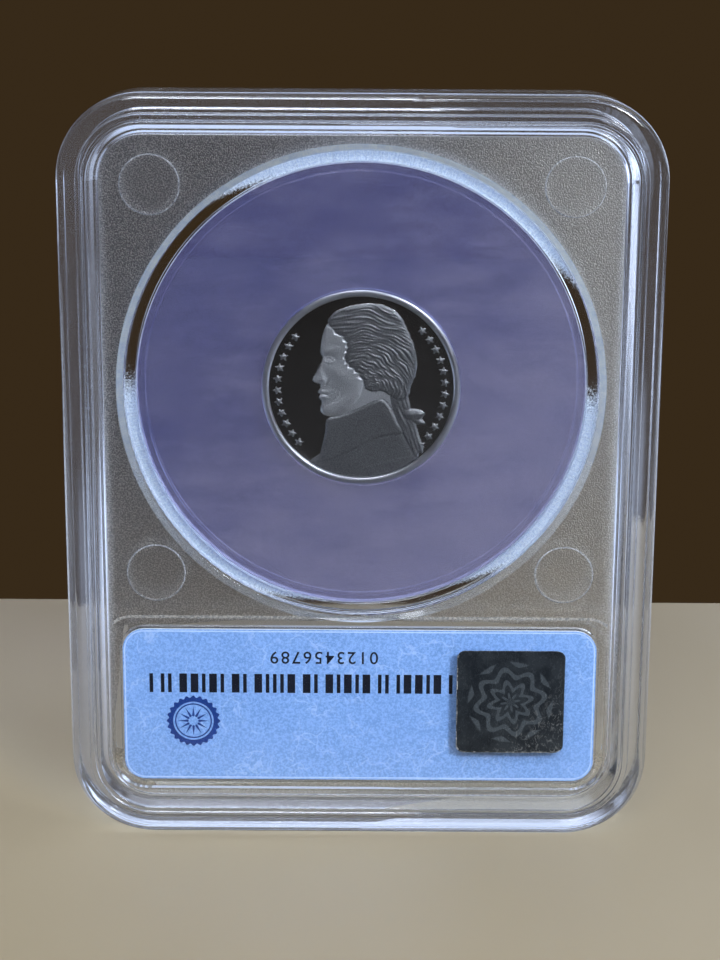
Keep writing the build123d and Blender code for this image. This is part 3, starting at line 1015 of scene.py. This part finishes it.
def card_line(inset, radius):
    """Points round the card, inside its edge by an inset, with rounded corners."""
    half_width = LABEL["width"] / 2 - inset - radius
    half_height = LABEL["height"] / 2 - inset - radius
    points = []
    for quarter, (side_x, side_z) in enumerate(((1, 1), (-1, 1), (-1, -1), (1, -1))):
        for a in np.linspace(0, math.pi / 2, 7) + quarter * math.pi / 2:
            x = side_x * half_width + radius * math.cos(a)
            points.append((x, side_z * half_height + radius * math.sin(a) + LABEL["z"]))
    return points


def make_label_print():
    """The printing on the card, all plain and generic, and upside down in front as the card is."""
    black = printed("print_black", (0.004, 0.006, 0.014), (0.008, 0.012, 0.028))
    blue = printed("print_blue", (0.008, 0.04, 0.20), (0.02, 0.06, 0.25))
    pale = printed("print_pale", (0.52, 0.66, 0.90), (0.34, 0.50, 0.80))
    print_bars(black)
    print_rosette(blue)
    print_digits(black)
    margin = (card_line(0.15, 2.2), card_line(0.3, 2.05))
    printed_shapes("label_margin", [margin], pale, LABEL_FRONT, 0.008)
    rules = [oblong(-20.5, 20.5, z, z + 0.15) for z in (10.6, 13.6, 16.6)]
    rules.insert(0, (card_line(1.6, 1.2), card_line(1.9, 0.9)))
    printed_shapes("label_back_rules", rules, blue, LABEL_BACK)


def make_pin_marks(plastic):
    """The raised witness rings round the ejector pin marks, on both inner faces."""
    vertices, faces = [], []
    section = [(-0.12, 0.0), (-0.07, 0.04), (0.0, 0.05), (0.07, 0.04), (0.12, 0.0)]
    turns, steps = 72, len(section)
    for side in (-1, 1):
        for x in (-EJECTOR["x"], EJECTOR["x"]):
            for z in EJECTOR["z"]:
                first = len(vertices)
                for a in np.linspace(0, 2 * math.pi, turns, endpoint=False):
                    for across, lift in section:
                        r = EJECTOR["radius"] + across
                        y = side * (CAVITY_HEIGHT - lift)
                        vertices.append((x + r * math.cos(a), y, z + r * math.sin(a)))
                for i in range(turns):
                    here, there = first + i * steps, first + (i + 1) % turns * steps
                    for j in range(steps):
                        k = (j + 1) % steps
                        faces.append((here + j, there + j, there + k, here + k))
    marks = new_piece("pin_mark_rims", vertices, faces, [plastic])
    tidy_normals(marks.data)


shell_materials = [
    clear_polished(), clear_stippled(), clear_frosted(), clear_seat(), clear_rim(), clear_bevel(),
]
for name in ("front_shell", "back_shell"):
    dress(name, shell_materials, shell_face)
dress("coin_insert", [insert_tinted(), insert_edge()], insert_face)
dress("coin", [coin_rim()], lambda x, depth, z, normal: 0)
dress("label_card", [label_paper(), card_edge()], card_face)
dress("hologram_sticker", [sticker_foil()], lambda x, depth, z, normal: 0)
make_coin()
make_sticker()
make_label_print()
make_pin_marks(shell_materials[FROSTED])


# -------------------- stage, lights and camera
FLOOR = {"half_width": 300, "near": -420, "far": 81, "drop": 0.05}
CAMERA = {"at": (-0.07, -223.7, 98.55), "lens": 79.9, "down": 14.68, "roll": 0.354}
WHITE = (0.9, 0.94, 1.0)
BLUE = (0.66, 0.78, 1.0)
WORLD = (0.038, 0.023, 0.010)


def floor_pale():
    """A plain pale table. In front of the slab it is dark in reflections, as an unlit room would be."""
    material, tree = new_material("floor_pale")
    _, y, _ = coordinates(tree)
    path = add(tree, "ShaderNodeLightPath")
    mirrored = fade(tree, path.outputs["Glossy Depth"], 0.0, 1.0)
    dark = product(tree, mirrored, fade(tree, y, -42, -14, 1.0, 0.0))
    wood = fade(tree, noise(tree, 0.02, 3.0, 0.5, 0.0, (1, 0.3, 1)), 0.3, 0.7)
    pale = blend(tree, wood, (0.60, 0.50, 0.32), (0.64, 0.54, 0.36))
    tone = blend(tree, dark, pale, (0.014, 0.013, 0.012))
    return shown(material, principled(tree, tone, 0.5))


def make_floor():
    """The table, with a hair's breadth of air under the slab, so that its foot reflects inside."""
    mesh = bpy.data.meshes.new("floor")
    x, near, far, z = FLOOR["half_width"] * MM, FLOOR["near"] * MM, FLOOR["far"] * MM, -FLOOR["drop"] * MM
    mesh.from_pydata([(-x, near, z), (x, near, z), (x, far, z), (-x, far, z)], [], [(0, 1, 2, 3)])
    mesh.materials.append(floor_pale())
    floor = bpy.data.objects.new("floor", mesh)
    bpy.context.collection.objects.link(floor)


def make_light(name, at, aim, size, power, colour, sheen=None):
    """An area light. A sheen panel is soft-edged and lights nothing matt: it is "seen" in the plastic
    and through it, or only "mirrored" in it.
    """
    data = bpy.data.lights.new(name, "AREA")
    data.shape = "RECTANGLE"
    data.size, data.size_y = (side * MM for side in size)
    data.energy = power
    data.color = colour
    light = bpy.data.objects.new(name, data)
    light.location = Vector(at) * MM
    light.rotation_euler = (Vector(aim) - Vector(at)).to_track_quat("-Z", "Y").to_euler()
    light.visible_camera = False
    light.visible_diffuse = sheen is None
    light.visible_transmission = sheen != "mirrored"
    bpy.context.collection.objects.link(light)
    if sheen:
        soften_edges(data, lies_flat=at[1] == aim[1])


def soften_edges(data, lies_flat):
    """Fade a light towards its four sides. One that lies flat has a gap in line with the slab's edge."""
    data.use_nodes = True
    tree = data.node_tree
    split = add(tree, "ShaderNodeSeparateXYZ")
    tree.links.new(add(tree, "ShaderNodeNewGeometry").outputs["Parametric"], split.inputs[0])
    strength = 1.0
    for axis in ("X", "Y"):
        from_middle = calculate(tree, "ABSOLUTE", calculate(tree, "SUBTRACT", split.outputs[axis], 0.5))
        strength = product(tree, strength, fade(tree, from_middle, 0.25, 0.5, 1.6, 0.0))
    if lies_flat:
        strength = product(tree, strength, fade(tree, from_middle, 0.03, 0.07))
    tree.links.new(strength, tree.nodes["Emission"].inputs["Strength"])


def make_world(colour):
    """A plain dark surround."""
    world = bpy.data.worlds.new("world")
    bpy.context.scene.world = world
    world.use_nodes = True
    world.node_tree.nodes["Background"].inputs["Color"].default_value = (*colour, 1)


def make_camera():
    """The camera, a little above the slab and looking down at it."""
    data = bpy.data.cameras.new("camera")
    data.sensor_width = 36
    data.lens = CAMERA["lens"]
    data.clip_start = 0.01
    camera = bpy.data.objects.new("camera", data)
    camera.location = Vector(CAMERA["at"]) * MM
    tilt = Euler((math.radians(90 - CAMERA["down"]), 0, 0)).to_matrix()
    roll = Euler((0, 0, math.radians(CAMERA["roll"]))).to_matrix()
    camera.rotation_euler = (tilt @ roll).to_euler()
    bpy.context.collection.objects.link(camera)
    bpy.context.scene.camera = camera
    bpy.context.scene.view_settings.view_transform = "Standard"


make_floor()
make_world(WORLD)
make_light("key", (230, -420, 260), (0, 0, 45), (110, 110), 1.35, WHITE)
make_light("sky", (-60, -380, 420), (0, 0, 20), (190, 150), 0.8, WHITE)
make_light("ceiling", (0, 100, 720), (0, 100, 0), (1300, 900), 1.6, (0.84, 0.9, 1.0))
for name, x, power, sheen in (
    ("right", 235, 0.32, "seen"),
    ("left", -235, 0.40, "seen"),
    ("right_glint", 235, 0.42, "mirrored"),
    ("left_glint", -235, 0.7, "mirrored"),
):
    make_light(name, (x, 0, 1), (x, 0, 100), (420, 340), power, BLUE, sheen)
for name, x, z, size, power in (
    ("back_top", 90, 290, (760, 330), 0.36),
    ("back_right", 300, 130, (430, 300), 0.5),
    ("back_left", -270, 120, (360, 280), 0.07),
):
    make_light(name, (x, 420, z), (x, 0, z), size, power, BLUE, "seen")
make_camera()
